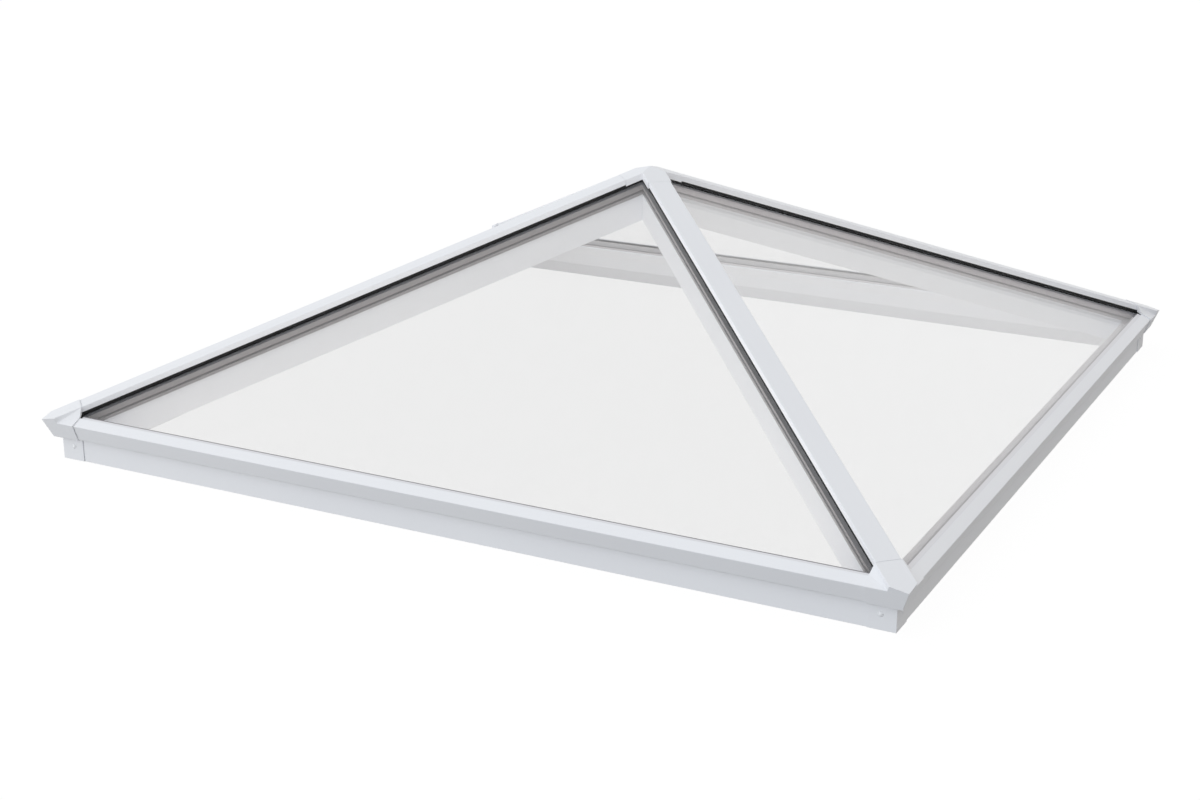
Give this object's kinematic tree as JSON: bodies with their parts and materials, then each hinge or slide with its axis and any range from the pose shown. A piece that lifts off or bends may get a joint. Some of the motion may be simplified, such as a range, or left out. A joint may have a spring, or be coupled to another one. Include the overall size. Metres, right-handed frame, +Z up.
{
  "type": "roof lantern",
  "caption": "Square pyramid roof lantern: sealed triangular glass units between white hip and eaves caps, on a level eaves ring that stands on a roof kerb.",
  "frame": {"origin": "middle of the underside of the eaves ring", "axes": "+Z up to the apex, the front side faces -Y, the right side faces +X"},
  "size_m": [2.0662, 2.0662, 0.5863],
  "materials": {
    "powder_coat": "satin white powder coat on aluminium",
    "glass": "clear float glass",
    "spacer": "warm grey edge spacer",
    "gasket": "black extruded rubber",
    "flap": "light grey extruded rubber",
    "seat": "warm grey extruded strip"
  },
  "bodies": {
    "root": {"eaves_beam_front": "powder_coat", "fascia_front": "powder_coat", "eaves_cap_front": "powder_coat", "outer_pane_front": "glass", "spacer_front": "spacer", "inner_pane_front": "glass", "eaves_beam_right": "powder_coat", "fascia_right": "powder_coat", "eaves_cap_right": "powder_coat", "outer_pane_right": "glass", "spacer_right": "spacer", "inner_pane_right": "glass", "eaves_beam_back": "powder_coat", "fascia_back": "powder_coat", "eaves_cap_back": "powder_coat", "outer_pane_back": "glass", "spacer_back": "spacer", "inner_pane_back": "glass", "eaves_beam_left": "powder_coat", "fascia_left": "powder_coat", "eaves_cap_left": "powder_coat", "outer_pane_left": "glass", "spacer_left": "spacer", "inner_pane_left": "glass", "fascia_corner_front_right": "powder_coat", "corner_cap_front_right": "powder_coat", "hip_cap_front_right": "powder_coat", "hip_rafter_front_right": "powder_coat", "fascia_corner_back_right": "powder_coat", "corner_cap_back_right": "powder_coat", "hip_cap_back_right": "powder_coat", "hip_rafter_back_right": "powder_coat", "fascia_corner_back_left": "powder_coat", "corner_cap_back_left": "powder_coat", "hip_cap_back_left": "powder_coat", "hip_rafter_back_left": "powder_coat", "fascia_corner_front_left": "powder_coat", "corner_cap_front_left": "powder_coat", "hip_cap_front_left": "powder_coat", "hip_rafter_front_left": "powder_coat", "apex_boss": "powder_coat", "apex_cap": "powder_coat", "outer_gaskets": "gasket", "eaves_gaskets": "flap", "inner_seats": "seat"}
  },
  "joints": []
}
